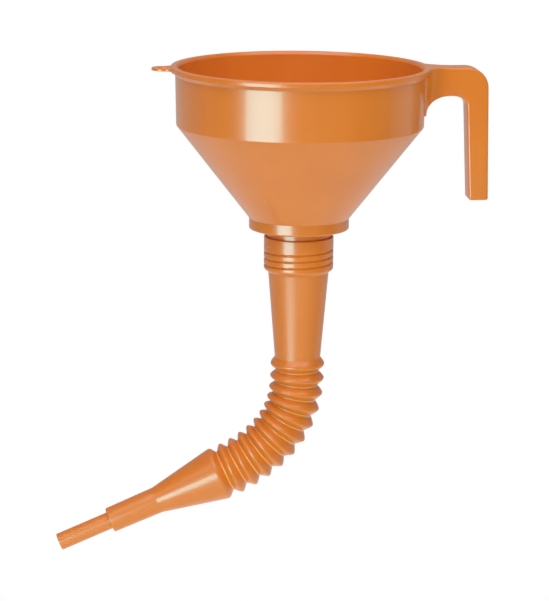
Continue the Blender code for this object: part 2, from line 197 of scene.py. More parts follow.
def weightedBevel(obj, width, segments, weightAt, angle=50):
    # a bevel whose width follows weightAt(middle of the edge, in mm), 0 to 1
    work = bmesh.new()
    work.from_mesh(obj.data)
    weights = work.edges.layers.float.new("bevel_weight_edge")
    for edge in work.edges:
        if edge.calc_face_angle(0.0) > math.radians(angle):
            edge[weights] = weightAt((edge.verts[0].co + edge.verts[1].co) / 2 / mm)
    work.to_mesh(obj.data)
    work.free()
    bevel = obj.modifiers.new("edges", "BEVEL")
    bevel.width = width
    bevel.segments = segments
    bevel.limit_method = "WEIGHT"
    bevel.use_clamp_overlap = False
    return evaluated(obj)


def smoothed(obj, angle=22):
    obj.data.shade_smooth()
    obj.data.set_sharp_from_angle(angle=math.radians(angle))
    return obj


def arcPoints(cx, cy, radius, start, end, steps):
    out = []
    for i in range(steps + 1):
        a = math.radians(start + (end - start) * i / steps)
        out.append((cx + radius * math.cos(a), cy + radius * math.sin(a)))
    return out


# shader and geometry node helpers
class Wire:
    # one socket; maths on it adds Math nodes to its tree
    def __init__(self, tree, socket):
        self.tree = tree
        self.socket = socket

    def math(self, operation, *others):
        node = self.tree.nodes.new("ShaderNodeMath")
        node.operation = operation
        for i, value in enumerate((self,) + others):
            feed(self.tree, node.inputs[i], value)
        return Wire(self.tree, node.outputs[0])

    def __add__(self, other):
        return self.math("ADD", other)

    def __radd__(self, other):
        return self.math("ADD", other)

    def __sub__(self, other):
        return self.math("SUBTRACT", other)

    def __rsub__(self, other):
        return self.math("MULTIPLY", -1.0).math("ADD", other)

    def __mul__(self, other):
        return self.math("MULTIPLY", other)

    def __rmul__(self, other):
        return self.math("MULTIPLY", other)

    def __truediv__(self, other):
        return self.math("DIVIDE", other)

    def clamped(self, low=0.0, high=1.0):
        return self.math("MAXIMUM", low).math("MINIMUM", high)


def feed(tree, socket, value):
    if isinstance(value, Wire):
        tree.links.new(value.socket, socket)
    else:
        socket.default_value = value


def addNode(tree, kind, settings=None, inputs=None, output=0):
    node = tree.nodes.new(kind)
    for key, value in (settings or {}).items():
        setattr(node, key, value)
    for key, value in (inputs or {}).items():
        feed(tree, node.inputs[key], value)
    return Wire(tree, node.outputs[output])


def mixedColour(tree, factor, a, b):
    node = tree.nodes.new("ShaderNodeMix")
    node.data_type = "RGBA"
    feed(tree, node.inputs[0], factor)
    feed(tree, node.inputs[6], a)
    feed(tree, node.inputs[7], b)
    return Wire(tree, node.outputs[2])


def newMaterial(name, **fixed):
    material = bpy.data.materials.new(name)
    material.use_nodes = True
    shader = material.node_tree.nodes["Principled BSDF"]
    for key, value in fixed.items():
        shader.inputs[key.replace("_", " ")].default_value = value
    return material, material.node_tree, shader


def noiseAt(tree, scale, detail=3.0, stretch=(1.0, 1.0, 1.0)):
    place = addNode(tree, "ShaderNodeTexCoord", output=3)
    place = addNode(tree, "ShaderNodeMapping", inputs={"Vector": place, "Scale": stretch})
    return addNode(tree, "ShaderNodeTexNoise", inputs={"Vector": place, "Scale": scale, "Detail": detail})


# finishes
def orangePlastic(name, look):
    material, tree, shader = newMaterial(
        name,
        Coat_Weight=look["coat"],
        Coat_Roughness=look["coatRoughness"],
        Subsurface_Weight=look["translucent"],
        Subsurface_Scale=look["translucentDepth"],
        Subsurface_Radius=(1.0, 0.35, 0.08),
        IOR=1.5,
    )
    cloud = noiseAt(tree, look["cloudScale"])
    streak = noiseAt(tree, look["streakScale"], 2.0, (1.0, 1.0, 0.12))
    tone = (cloud * 0.6 + streak * 0.4 - 0.35) * 3.0
    colour = mixedColour(tree, tone.clamped(), look["deep"], look["light"])
    # painted highlight: along the bellows' valleys a thin line of the base colour turns bright orange, in place
    # of the key light's glint in each valley; the valley entry sets how strongly it is painted
    if look["valley"]:
        fold = addNode(tree, "ShaderNodeAttribute", {"attribute_name": "valley"}, output=2)
        thin = ((fold - 0.90) * 10.0).clamped()
        colour = mixedColour(tree, thin * look["valley"], colour, look["thin"])
    feed(tree, shader.inputs["Base Color"], colour)
    grain = noiseAt(tree, look["grainScale"], 4.0)
    feed(tree, shader.inputs["Roughness"], look["roughness"] + (grain - 0.5) * look["roughnessSpread"])
    bump = addNode(tree, "ShaderNodeBump", inputs={
        "Strength": look["bump"], "Distance": 0.0002, "Height": grain * 0.5 + cloud * 0.5,
    })
    feed(tree, shader.inputs["Normal"], bump)
    return material


def brassWire(look):
    material, tree, shader = newMaterial("brassWire", Metallic=1.0)
    dull = noiseAt(tree, look["cloudScale"])
    feed(tree, shader.inputs["Base Color"], mixedColour(tree, dull, look["dull"], look["bright"]))
    feed(tree, shader.inputs["Roughness"], 0.22 + dull * 0.25)
    return material


# the third colour is a painted highlight for the bellows' valley lines; the valley entry, 0 here, is how
# strongly it is painted
plasticLook = {
    "deep": (0.75, 0.202, 0.020, 1.0), "light": (0.80, 0.228, 0.026, 1.0), "thin": (1.0, 0.50, 0.15, 1.0),
    "coat": 0.35, "coatRoughness": 0.10, "roughness": 0.30, "roughnessSpread": 0.08,
    "translucent": 0.10, "translucentDepth": 0.002, "valley": 0.0,
    "cloudScale": 22.0, "streakScale": 60.0, "grainScale": 900.0, "bump": 0.06,
}
mouldedOrange = orangePlastic("mouldedOrange", plasticLook)
# the bellows' finish paints the valley highlight
blownOrange = orangePlastic("blownOrange", {**plasticLook, "valley": 0.8, "roughness": 0.33})
frameOrange = orangePlastic("frameOrange", {**plasticLook, "coat": 0.0, "roughness": 0.42, "grainScale": 1400.0})
brassCloth = brassWire({"cloudScale": 500.0, "dull": (0.42, 0.27, 0.09, 1.0), "bright": (0.80, 0.58, 0.26, 1.0)})
print("finishes ready")


def dressed(obj, material):
    obj.data.materials.clear()
    obj.data.materials.append(material)
    return obj


# bowl with handle and hanging eye, one moulding
bowlSizes = {
    "wall": 1.8, "rimR": 80.0, "lipH": 3.2, "beadR": 78.8, "beadH": 1.8, "beadFootOut": 0.3, "topR": 77.0,
    "footR": 76.4, "bowlH": 36.1, "coneFootZ": -94.2, "seatR": 31.1, "innerChamfer": 1.8, "chamferOut": 1.1,
    "sides": 256,
}


def bowlOutline(s):
    slope = math.atan2(s["footR"] - s["seatR"], -s["coneFootZ"] - s["bowlH"])
    drop = s["wall"] * math.tan(slope / 2)
    bore = s["topR"] - s["wall"]
    beadFoot = -s["lipH"] - s["beadH"]
    return roundedOutline([
        (bore + s["chamferOut"], 0.0, 0.35),
        (s["rimR"], 0.0, 0.95),
        (s["rimR"], -s["lipH"], 0.45),
        (s["beadR"], -s["lipH"] - 0.1, 0.25),
        (s["topR"] + s["beadFootOut"], beadFoot, 0.3),
        (s["topR"], beadFoot - 0.5, 0.3),
        (s["footR"], -s["bowlH"], 1.2),
        (s["seatR"], s["coneFootZ"], 0.0),
        (s["seatR"] - s["wall"], s["coneFootZ"], 0.0),
        (s["seatR"] - s["wall"], s["coneFootZ"] + drop, 0.6),
        (s["footR"] - s["wall"], -s["bowlH"] + drop, 1.6),
        (bore, -s["innerChamfer"], 0.4),
    ])


handleSizes = {
    "rootIn": 8.0, "gripW": 16.0, "topDepth": 13.7, "footDepth": 12.0, "reach": 110.4, "lean": 1.05,
    "footZ": -83.4,
    "armDrop": 0.5, "cornerR": 13.0, "flareTopR": 18.5, "flareFootR": 9.0, "flareSpan": 0.9,
    "armH": 17.6, "archRun": 15.6, "archRise": 11.2, "archRootIn": 0.9, "gripRun": 8.8, "gripRise": 6.5,
    "wall": 2.2, "round": 1.5, "roundFrom": 3.0, "roundRun": 9.0, "steps": 14,
}


def gripSide(s, z, side):
    archZ = -s["armDrop"] - s["armH"]
    t = (archZ - z) / (archZ - s["footZ"])
    middle = s["reach"] + s["lean"] * (2 * t - 1)
    return middle + side * (s["topDepth"] + (s["footDepth"] - s["topDepth"]) * t) / 2


def handleSide(s, inset, footZ):
    rootX = bowlSizes["topR"] - s["rootIn"]
    archZ = -s["armDrop"] - s["armH"]
    cornerZ = -s["armDrop"] - s["cornerR"]
    steps = s["steps"]
    line = [(rootX, -s["armDrop"] - inset)]
    line += arcPoints(gripSide(s, cornerZ, 1) - s["cornerR"], cornerZ, s["cornerR"] - inset, 90, 0, steps)
    line.append((gripSide(s, footZ, 1) - inset, footZ))
    if inset:
        line.append((gripSide(s, footZ, -1) + inset, footZ))
        line += [(gripSide(s, archZ, -1) + inset, archZ), (rootX, archZ)]
        return line
    line.append((gripSide(s, footZ, -1), footZ))
    gripZ = archZ - s["gripRise"]
    gripX = gripSide(s, gripZ, -1) - s["gripRun"]
    runX = bowlSizes["topR"] - s["archRootIn"] + s["archRun"]
    quarter = [math.pi / 2 * i / steps for i in range(steps + 1)]
    line += [(gripX + s["gripRun"] * math.cos(a), gripZ + s["gripRise"] * math.sin(a)) for a in quarter]
    line += [(runX - s["archRun"] * math.sin(a), archZ - s["archRise"] * (1 - math.cos(a))) for a in quarter]
    line.append((rootX, archZ - s["archRise"]))
    return line


def handlePlan(s, flare, inset):
    half = s["gripW"] / 2 - inset
    flareY = s["gripW"] / 2 + flare
    side = [(s["reach"] + 2 * s["gripW"], half)]
    side += arcPoints(bowlSizes["topR"] + flare * s["flareSpan"], flareY, flare + inset, 270, 190, s["steps"])
    side.append((bowlSizes["topR"] / 2, flareY))
    return side + [(x, -y) for x, y in reversed(side)]


def handleSolid(s, inset, footZ, name):
    flat = handleSide(s, inset, footZ)
    across = 3 * s["gripW"]
    block = layered(name, [
        (flat, lambda x, z: (x * mm, -across * mm, z * mm)),
        (flat, lambda x, z: (x * mm, across * mm, z * mm)),
    ])
    webFoot = -s["armDrop"] - s["armH"] - s["archRise"]
    above = 8.0  # the plan reaches this far over the rim
    widest = s["flareTopR"] + (s["flareTopR"] - s["flareFootR"]) * above / -webFoot
    narrow, wide = handlePlan(s, s["flareFootR"], inset), handlePlan(s, widest, inset)
    plan = layered(name + "Plan", [
        (narrow, lambda x, y: (x * mm, y * mm, 3 * footZ * mm)),
        (narrow, lambda x, y: (x * mm, y * mm, webFoot * mm)),
        (wide, lambda x, y: (x * mm, y * mm, above * mm)),
    ])
    return combined(block, plan, "INTERSECT")


def bowlCore(s, name):
    # what lies behind the middle of the bowl's wall
    half = s["wall"] / 2
    above = 20.0  # clear of everything that it cuts
    return turnedSolid(name, [
        (0.0, above), (s["topR"] - half, above), (s["topR"] - half, -s["lipH"] - s["beadH"]),
        (s["footR"] - half, -s["bowlH"]), (s["seatR"], s["coneFootZ"]), (0.0, s["coneFootZ"]),
    ], s["sides"])


def turnedSolid(name, outline, sides):
    # an outline from pole to pole, its two ends on the axis
    work = bmesh.new()
    top = work.verts.new((0.0, 0.0, outline[0][1] * mm))
    foot = work.verts.new((0.0, 0.0, outline[-1][1] * mm))
    rings = []
    for r, z in outline[1:-1]:
        ring = []
        for i in range(sides):
            a = math.tau * i / sides
            ring.append(work.verts.new((r * math.cos(a) * mm, r * math.sin(a) * mm, z * mm)))
        rings.append(ring)
    for i in range(sides):
        j = (i + 1) % sides
        work.faces.new((top, rings[0][i], rings[0][j]))
        work.faces.new((foot, rings[-1][j], rings[-1][i]))
        for a, b in zip(rings, rings[1:]):
            work.faces.new((a[i], b[i], b[j], a[j]))
    return meshObject(work, name)


eyeSizes = {
    "ringR": 7.2, "holeR": 3.0, "holeSides": 48, "reach": 4.4, "rootIn": 4.0, "thick": 1.8, "drop": 0.4,
    "filletR": 5.0, "round": 0.45, "steps": 16,
}


def hangingEye(s):
    rimR, steps = bowlSizes["rimR"], s["steps"]
    ringX = rimR + s["reach"]
    a, b = rimR + s["filletR"], s["ringR"] + s["filletR"]
    filletX = (a * a - b * b + ringX * ringX) / (2 * ringX)
    filletY = math.sqrt(a * a - filletX * filletX)
    toRim = math.degrees(math.atan2(-filletY, -filletX))
    toRing = math.degrees(math.atan2(-filletY, ringX - filletX))
    onRing = math.degrees(math.atan2(filletY, filletX - ringX))
    side = arcPoints(ringX, 0.0, s["ringR"], 0, onRing, 2 * steps)
    side += arcPoints(filletX, filletY, s["filletR"], toRing, toRim, steps)[1:]
    side.append((bowlSizes["footR"] - s["rootIn"], filletY * rimR / a))
    outline = side + [(x, -y) for x, y in reversed(side[1:])]
    flat = [(-x, y) for x, y in outline]
    top, foot = -s["drop"], -s["drop"] - s["thick"]
    plate = layered("hangingEye", [
        (flat, lambda x, y: (x * mm, y * mm, foot * mm)),
        (flat, lambda x, y: (x * mm, y * mm, top * mm)),
    ])
    last = s["holeSides"] - 1
    hole = arcPoints(-ringX, 0.0, s["holeR"], 0, 360 * last / s["holeSides"], last)
    drill = layered("eyeDrill", [
        (hole, lambda x, y: (x * mm, y * mm, (foot - 2) * mm)),
        (hole, lambda x, y: (x * mm, y * mm, (top + 2) * mm)),
    ])
    combined(plate, drill, "DIFFERENCE")
    return beveled(plate, s["round"] * mm, 3)


def funnelMoulding():
    s = handleSizes
    handle = handleSolid(s, 0.0, s["footZ"], "handle")
    start, run = bowlSizes["rimR"] + s["roundFrom"], s["roundRun"]
    weightedBevel(handle, s["round"] * mm, 5, lambda at: max(0.0, min(1.0, (at.x - start) / run)))
    combined(handle, handleSolid(s, s["wall"], 2 * s["footZ"], "handleCore"), "DIFFERENCE")
    combined(handle, bowlCore(bowlSizes, "behindWall"), "DIFFERENCE")
    eye = combined(hangingEye(eyeSizes), bowlCore(bowlSizes, "behindWall"), "DIFFERENCE")
    bowl = turnedPiece("funnelMoulding", bowlOutline(bowlSizes), bowlSizes["sides"], Matrix.Identity(4))
    combined(bowl, handle, "UNION")
    combined(bowl, eye, "UNION")
    bowl.data.transform(onAxis)
    return smoothed(dressed(bowl, mouldedOrange))


bowlPiece = funnelMoulding()
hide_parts("bowl", "handle", "hanging_eye")
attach(bowlPiece, "funnel")
print("bowl, handle and eye done:", len(bowlPiece.data.polygons), "faces")


# geometry trees: all begin with named inputs and end with real faces in one finish
def startedTree(name, floats, vectors=(), ints=()):
    tree = bpy.data.node_groups.new(name, "GeometryNodeTree")
    face = tree.interface
    face.new_socket("Geometry", in_out="INPUT", socket_type="NodeSocketGeometry")
    for names, kind in ((floats, "Float"), (vectors, "Vector"), (ints, "Int"), (("Finish",), "Material")):
        for item in names:
            face.new_socket(item, in_out="INPUT", socket_type="NodeSocket" + kind)
    face.new_socket("Geometry", in_out="OUTPUT", socket_type="NodeSocketGeometry")
    given = tree.nodes.new("NodeGroupInput")
    return tree, {s.name: Wire(tree, s) for s in given.outputs if s.name}


def finishedTree(tree, shape, finish):
    real = addNode(tree, "GeometryNodeRealizeInstances", inputs={"Geometry": shape})
    done = addNode(tree, "GeometryNodeSetMaterial", inputs={"Geometry": real, "Material": finish})
    out = tree.nodes.new("NodeGroupOutput")
    feed(tree, out.inputs[0], done)
    return tree


# screw thread as a rule, for the spout's collar and the neck
def threadTree():
    tree, value = startedTree("helicalGroove", (
        "Axis X", "Pitch", "Depth", "Half width", "Front height", "Top", "Foot", "Fade", "Least radius",
    ))
    place = addNode(tree, "GeometryNodeInputPosition")
    split = addNode(tree, "ShaderNodeSeparateXYZ", inputs={"Vector": place}).socket.node
    x = Wire(tree, split.outputs[0]) - value["Axis X"]
    y, z = Wire(tree, split.outputs[1]), Wire(tree, split.outputs[2])
    radius = (x * x + y * y).math("SQRT")
    turn = y.math("ARCTAN2", x) / math.tau
    rise = (z - value["Front height"]) / value["Pitch"] - turn - 0.25
    off = (rise.math("FRACT") - 0.5).math("ABSOLUTE")
    away = (0.5 - off) * value["Pitch"]  # distance to the nearest groove's middle, along the axis
    share = (1.0 - away / value["Half width"]).clamped()
    soft = share * share * (3.0 - share * 2.0)
    upper = ((value["Top"] - z) / value["Fade"]).clamped()
    lower = ((z - value["Foot"]) / value["Fade"]).clamped()
    reached = radius.math("GREATER_THAN", value["Least radius"])
    push = soft * upper * lower * reached * value["Depth"] * -1.0 / radius
    step = addNode(tree, "ShaderNodeCombineXYZ", inputs={0: x * push, 1: y * push, 2: 0.0})
    moved = addNode(tree, "GeometryNodeSetPosition", inputs={"Geometry": value["Geometry"], "Offset": step})
    return finishedTree(tree, moved, value["Finish"])


def grown(obj, tree, values):
    # runs a geometry tree on obj with named inputs and keeps the result as a plain mesh
    modifier = obj.modifiers.new(tree.name, "NODES")
    modifier.node_group = tree
    for item in tree.interface.items_tree:
        if item.in_out == "INPUT" and item.name in values:
            modifier[item.identifier] = values[item.name]
    return evaluated(obj)


helicalGroove = threadTree()
threadSizes = {"pitch": 4.05, "frontZ": -114.8, "topZ": -111.6, "footZ": -125.2, "fade": 1.6}


def threadValues(depth, halfWidth, leastRadius, finish, shift=0.0):
    t = threadSizes
    return {
        "Axis X": axisTop.x, "Pitch": t["pitch"] * mm, "Depth": depth * mm, "Half width": halfWidth * mm,
        "Front height": axisTop.z + (t["frontZ"] + shift) * mm, "Top": axisTop.z + t["topZ"] * mm,
        "Foot": axisTop.z + t["footZ"] * mm, "Fade": t["fade"] * mm, "Least radius": leastRadius * mm,
        "Finish": finish,
    }


# step collar and threaded neck
neckSizes = {
    "seatR": 31.1, "wall": 1.8, "topZ": -94.2, "floorZ": -101.0, "bandR": 20.2, "bandH": 5.6,
    "bandEase": 0.8, "threadR": 18.9, "ridge": 0.5, "ridgeHalfW": 1.1, "ridgeShift": 2.0, "footZ": -123.1,
    "boreR": 17.2, "rowH": 0.35, "sides": 192,
}


def outletNeck(s):
    floor = s["floorZ"] + s["wall"]
    bandFoot = s["floorZ"] - s["bandH"]
    points = roundedOutline([
        (s["seatR"], s["topZ"], 0.0),
        (s["seatR"], s["floorZ"], 1.0),
        (s["bandR"], s["floorZ"], 0.6),
        (s["bandR"], bandFoot, 0.3),
        (s["threadR"], bandFoot - s["bandEase"], 0.3),
        (s["threadR"], s["footZ"], 0.5),
        (s["boreR"], s["footZ"], 0.4),
        (s["boreR"], floor, 0.8),
        (s["seatR"] - s["wall"], floor, 0.5),
        (s["seatR"] - s["wall"], s["topZ"], 0.0),
    ])
    points = filledIn(points, s["footZ"], bandFoot, s["rowH"])
    piece = turnedPiece("outletNeck", points, s["sides"])
    wallMiddle = (s["boreR"] + s["threadR"]) / 2
    values = threadValues(-s["ridge"], s["ridgeHalfW"], wallMiddle, mouldedOrange, s["ridgeShift"])
    return smoothed(grown(piece, helicalGroove, values))


neckPiece = outletNeck(neckSizes)
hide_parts("outlet_neck")
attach(neckPiece, "funnel")
print("neck done")


# collar and tapered tube, one blow moulding down to the first crest
foldSizes = {
    "crestR": 16.9, "valleyR": 13.25, "wall": 1.0, "crestWall": 1.3, "crestSoft": 0.38, "valleySoft": 0.12,
    "sides": 96, "rows": 36,
}
spoutSizes = {
    "collarR": 21.7, "collarTopZ": -105.9, "collarFootZ": -126.4, "boreR": 20.5, "shoulderH": 2.0,
    "collarRound": 2.2, "tubeTopR": 18.7, "tubeFootR": 14.3, "foldStart": 0.18, "foldRows": 24, "wall": 1.0,
    "grooveDepth": 0.95, "grooveHalfW": 0.85, "grooveInR": 19.3, "rowH": 0.22, "sides": 192,
}


def eased(t, soft):
    # 0 to 1, nearly straight, but flat over about the first soft part
    return (math.sqrt(t * t + soft * soft) - soft) / (math.sqrt(1 + soft * soft) - soft)


def halfFold(s, fromZ, toZ, start, startR, steps):
    # outline points in mm from part way up a valley's side, start of 0 to 1, to the crest
    out = []
    base = 1 - eased(1 - eased(start, s["valleySoft"]), s["crestSoft"])
    for i in range(steps + 1):
        t = i / steps
        rise = 1 - eased(1 - eased(start + (1 - start) * t, s["valleySoft"]), s["crestSoft"])
        r = startR + (s["crestR"] - startR) * (rise - base) / (1 - base)
        out.append(Vector((r, fromZ + (toZ - fromZ) * t)))
    return out


def spoutTop(s, f):
    pitch = foldPitch / mm
    crestZ = (hinges[0].z - axisTop.z) / mm + pitch / 2
    valleyZ = crestZ + pitch / 2
    outer = roundedOutline([
        (s["boreR"], s["collarTopZ"], 0.4),
        (s["collarR"], s["collarTopZ"], 0.5),
        (s["collarR"], s["collarFootZ"], s["collarRound"]),
        (s["tubeTopR"] + 0.2, s["collarFootZ"] - s["shoulderH"], 0.8),
        (s["tubeFootR"], valleyZ, 0.0),
        (s["tubeFootR"] - s["wall"], valleyZ, 0.0),
        (s["tubeTopR"] - s["wall"], s["collarFootZ"] - s["shoulderH"] + 1.0, 1.0),
        (s["boreR"], s["collarFootZ"] + s["wall"] + 2.0, 1.2),
    ])
    cut = next(i for i, p in enumerate(outer) if p.y <= valleyZ + 0.001)
    outside, inside = outer[:cut], outer[cut + 2:]
    side = halfFold(f, valleyZ, crestZ, s["foldStart"], s["tubeFootR"], s["foldRows"])
    extra = (f["crestWall"] - 1.0) / s["foldRows"]
    back = [Vector((p.x - f["wall"] * (1.0 + extra * i), p.y)) for i, p in enumerate(side)]
    points = outside + side + list(reversed(back)) + inside
    points = filledIn(points, s["collarFootZ"] - s["shoulderH"], s["collarTopZ"], s["rowH"])
    piece = turnedPiece("spoutCollarAndTube", points, s["sides"])
    values = threadValues(s["grooveDepth"], s["grooveHalfW"], s["grooveInR"], blownOrange)
    return smoothed(grown(piece, helicalGroove, values))


tubePiece = spoutTop(spoutSizes, foldSizes)
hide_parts("spout_collar", "spout_tube")
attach(tubePiece, "spout_tube")
print("collar and tube done")


# bellows: each fold runs from crest to crest across one valley, and bends there
def easedWire(t, soft):
    # eased() as nodes
    far = (soft * soft + 1.0).math("SQRT") - soft
    return ((t * t + soft * soft).math("SQRT") - soft) / far


def foldTree():
    tree, value = startedTree("bellowsFold", (
        "Pitch", "Crest radius", "Valley radius", "Wall", "Crest wall", "Crest soft", "Valley soft",
        "Bend", "Tilt",
    ), vectors=("Hinge",), ints=("Rows", "Sides"))
    sheet = addNode(tree, "GeometryNodeMeshGrid", inputs={
        "Size X": 1.0, "Size Y": 1.0,
        "Vertices X": value["Rows"] * 2.0 + 1.0, "Vertices Y": value["Sides"] + 1.0,
    })
    place = addNode(tree, "GeometryNodeInputPosition")
    split = addNode(tree, "ShaderNodeSeparateXYZ", inputs={"Vector": place}).socket.node
    along = Wire(tree, split.outputs[0]) + 0.5  # once round the wall's section: down outside, up inside
    around = Wire(tree, split.outputs[1]) * math.tau
    inside = along.math("GREATER_THAN", 0.5)
    fall = (1.0 - (along * 2.0 - 1.0).math("ABSOLUTE"))  # 0 at the upper crest, 1 at the lower
    height = value["Pitch"] * (0.5 - fall)
    rise = 1.0 - easedWire((fall * 2.0 - 1.0).math("ABSOLUTE"), value["Valley soft"])
    rise = 1.0 - easedWire(rise, value["Crest soft"])
    deep = value["Crest radius"] - value["Valley radius"]
    thicker = (value["Crest wall"] - 1.0) * rise + 1.0
    radius = value["Valley radius"] + deep * rise - inside * value["Wall"] * thicker
    flat = addNode(tree, "ShaderNodeCombineXYZ", inputs={
        0: radius * around.math("COSINE"), 1: radius * around.math("SINE"), 2: height,
    })
    ease = fall * fall * (3.0 - fall * 2.0)
    bent = addNode(tree, "ShaderNodeVectorRotate", {"rotation_type": "AXIS_ANGLE"}, {
        "Vector": flat, "Axis": (0.0, 1.0, 0.0), "Angle": ease * value["Bend"] + value["Tilt"],
    })
    put = addNode(tree, "ShaderNodeVectorMath", {"operation": "ADD"}, {0: bent, 1: value["Hinge"]})
    marked = addNode(tree, "GeometryNodeStoreNamedAttribute", {"data_type": "FLOAT", "domain": "POINT"}, {
        "Geometry": sheet, "Name": "valley", "Value": 1.0 - rise,
    })
    shaped = addNode(tree, "GeometryNodeSetPosition", inputs={"Geometry": marked, "Position": put})
    closed = addNode(tree, "GeometryNodeMergeByDistance", inputs={"Geometry": shaped, "Distance": 0.000002})
    return finishedTree(tree, closed, value["Finish"])


def emptyPiece(name):
    return linked(bpy.data.objects.new(name, bpy.data.meshes.new(name)))


def outwardFaces(obj):
    work = bmesh.new()
    work.from_mesh(obj.data)
    bmesh.ops.recalc_face_normals(work, faces=work.faces)
    work.to_mesh(obj.data)
    work.free()
    return obj


bellowsFold = foldTree()


def tiltOf(way):  # turn about +Y that takes straight down to this way
    return math.atan2(-way.x, -way.z)


def bellowsPieces(f):
    ways = [down] + spoutWays
    for i, hinge in enumerate(hinges):
        upper, lower = ways[i], ways[i + 1]
        bend = tiltOf(lower) - tiltOf(upper)
        piece = grown(emptyPiece(f"bellows_{i + 1:02d}"), bellowsFold, {
            "Pitch": foldPitch, "Crest radius": f["crestR"] * mm, "Valley radius": f["valleyR"] * mm,
            "Wall": f["wall"] * mm, "Crest wall": f["crestWall"],
            "Crest soft": f["crestSoft"], "Valley soft": f["valleySoft"],
            "Bend": bend, "Tilt": tiltOf(upper), "Hinge": hinge,
            "Rows": f["rows"], "Sides": f["sides"], "Finish": blownOrange,
        })
        smoothed(outwardFaces(piece), 60)
        if bends[i]["child"] != "nozzle":
            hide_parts(bends[i]["child"])
        inset = f["crestR"] * mm * math.sin(bend / 2) + 0.1 * mm
        start = hinge - upper * (foldPitch / 2 - inset)
        end = hinge + lower * (foldPitch / 2 - inset)
        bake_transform(piece)


bellowsPieces(foldSizes)
print("bellows done")


# nozzle: from the last crest, a cone, a step and a thin tip
nozzleSizes = {
    "coneL": 42.7, "stepTopR": 8.4, "stepFootR": 8.0, "stepL": 32.5, "tipR": 5.4, "tipL": 34.8, "wall": 1.0,
    "sides": 128,
}


def nozzle(s, f):
    crestZ = -foldPitch / mm / 2
    coneZ = crestZ - s["coneL"]
    stepZ = coneZ - s["stepL"]
    tipZ = stepZ - s["tipL"]
    wall = s["wall"]
    points = roundedOutline([
        (f["crestR"] - wall * f["crestWall"], crestZ, 0.0),
        (f["crestR"], crestZ, 0.0),
        (f["crestR"], crestZ - 1.0, 6.0),
        (s["stepTopR"], coneZ, 9.0),
        (s["stepFootR"], stepZ, 0.9),
        (s["tipR"], stepZ, 0.7),
        (s["tipR"], tipZ, 0.35),
        (s["tipR"] - wall, tipZ, 0.35),
        (s["tipR"] - wall, stepZ + wall, 0.6),
        (s["stepFootR"] - wall, stepZ + wall, 0.6),
        (s["stepTopR"] - wall, coneZ, 9.0),
        (f["crestR"] - wall * f["crestWall"], crestZ - 0.9, 0.3),
    ])
    piece = turnedPiece("steppedNozzle", points, s["sides"], axisFrame(hinges[-1], spoutWays[-1]))
    return smoothed(dressed(piece, blownOrange))


nozzlePiece = nozzle(nozzleSizes, foldSizes)
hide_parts("nozzle")
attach(nozzlePiece, "nozzle")
print("nozzle done")


# strainer: a plastic ring and woven wire cloth
ringSizes = {
    "outerR": 28.8, "footZ": -98.9, "height": 4.2, "rimW": 2.2, "flangeW": 5.0, "flangeT": 1.4, "sides": 160,
}


def strainerRing(s):
    top, flangeTop = s["footZ"] + s["height"], s["footZ"] + s["flangeT"]
    points = roundedOutline([
        (s["outerR"], top, 0.6),
        (s["outerR"], s["footZ"], 0.4),
        (s["outerR"] - s["flangeW"], s["footZ"], 0.4),
        (s["outerR"] - s["flangeW"], flangeTop, 0.4),
        (s["outerR"] - s["rimW"], flangeTop, 0.3),
        (s["outerR"] - s["rimW"], top, 0.6),
    ])
    return smoothed(dressed(turnedPiece("strainerRing", points, s["sides"]), frameOrange))


ringPiece = strainerRing(ringSizes)
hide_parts("strainer_ring")
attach(ringPiece, "strainer")


def clothTree():
    tree, value = startedTree("wovenWire", ("Radius", "Pitch", "Wire radius"), ("Middle",), ("Wires",))
    pitch, reach = value["Pitch"], value["Radius"]
    first = addNode(tree, "ShaderNodeCombineXYZ", inputs={1: (value["Wires"] - 1.0) * pitch * -0.5})
    step = addNode(tree, "ShaderNodeCombineXYZ", inputs={1: pitch})
    row = addNode(tree, "GeometryNodeMeshLine", {"mode": "OFFSET"}, {
        "Count": value["Wires"], "Start Location": first, "Offset": step,
    })
    line = addNode(tree, "GeometryNodeCurvePrimitiveLine", inputs={
        "Start": (-1.0, 0.0, 0.0), "End": (1.0, 0.0, 0.0),
    })
    place = addNode(tree, "GeometryNodeInputPosition")
    split = addNode(tree, "ShaderNodeSeparateXYZ", inputs={"Vector": place}).socket.node
    x, y = Wire(tree, split.outputs[0]), Wire(tree, split.outputs[1])
    length = (reach * reach - y * y).math("MAXIMUM", 0.0).math("SQRT")
    stretch = addNode(tree, "ShaderNodeCombineXYZ", inputs={0: length, 1: 1.0, 2: 1.0})
    rows = addNode(tree, "GeometryNodeInstanceOnPoints", inputs={
        "Points": row, "Instance": line, "Scale": stretch,
    })
    rows = addNode(tree, "GeometryNodeRealizeInstances", inputs={"Geometry": rows})
    rows = addNode(tree, "GeometryNodeResampleCurve", {"mode": "LENGTH"}, {
        "Curve": rows, "Length": pitch * 0.34,
    })
    # over one crossing wire and under the next
    wave = (x / pitch * math.pi).math("COSINE") * (y / pitch * math.pi).math("COSINE") * value["Wire radius"]
    section = addNode(tree, "GeometryNodeCurvePrimitiveCircle", inputs={
        "Resolution": 5, "Radius": value["Wire radius"],
    })
    both = tree.nodes.new("GeometryNodeJoinGeometry")
    for turn, side in ((0.0, 1.0), (math.pi / 2, -1.0)):
        lift = addNode(tree, "ShaderNodeCombineXYZ", inputs={2: wave * side})
        woven = addNode(tree, "GeometryNodeSetPosition", inputs={"Geometry": rows, "Offset": lift})
        wires = addNode(tree, "GeometryNodeCurveToMesh", inputs={
            "Curve": woven, "Profile Curve": section, "Fill Caps": True,
        })
        wires = addNode(tree, "GeometryNodeTransform", inputs={
            "Geometry": wires, "Translation": value["Middle"], "Rotation": (0.0, 0.0, turn),
        })
        tree.links.new(wires.socket, both.inputs[0])
    return finishedTree(tree, Wire(tree, both.outputs[0]), value["Finish"])


clothSizes = {"pitch": 1.15, "wireR": 0.125}  # mm


